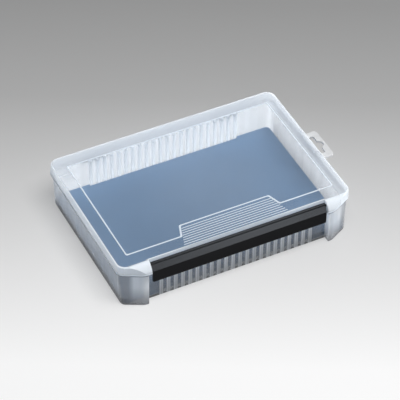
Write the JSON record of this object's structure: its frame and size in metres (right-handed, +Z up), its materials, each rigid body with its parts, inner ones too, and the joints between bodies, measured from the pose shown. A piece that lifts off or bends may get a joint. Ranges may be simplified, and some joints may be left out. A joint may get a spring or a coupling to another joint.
{
  "type": "slit foam tackle box",
  "caption": "Shallow clear case with a hinged lid, a long black flip latch, a slit foam sheet on its floor and a white hang tab.",
  "frame": {"origin": "middle of the tray's flat underside, halfway along the case and halfway between the lid's front and back", "axes": "+X along the latch towards the hang tab, +Y from the latch to the hinges, +Z up, drawn closed"},
  "size_m": [0.2166, 0.1468, 0.0428],
  "materials": {
    "clear_shell": "clear moulded polypropylene",
    "black_plastic": "satin black",
    "blue_foam": "matte closed-cell foam, grey blue",
    "pale_tape": "pale film",
    "white_plastic": "opaque white",
    "steel_pin": "drawn wire"
  },
  "bodies": {
    "base": {"base_tray": "clear_shell", "slit_foam": "blue_foam", "foam_tape_strips": "pale_tape", "hinge_pin_left": "steel_pin", "hinge_pin_right": "steel_pin"},
    "lid": {"lid": "clear_shell", "hang_tab": "white_plastic"},
    "latch": {"latch_bar": "black_plastic"}
  },
  "joints": [
    {"name": "lid_hinge", "type": "hinge", "parent": "base", "child": "lid", "pos_m": [0, 0.0723, 0.0312], "axis": [-1, 0, 0], "range_deg": [0, 180]},
    {"name": "latch_pivot", "type": "hinge", "parent": "lid", "child": "latch", "pos_m": [0, -0.0676, 0.0385], "axis": [-1, 0, 0], "range_deg": [0, 100]}
  ]
}
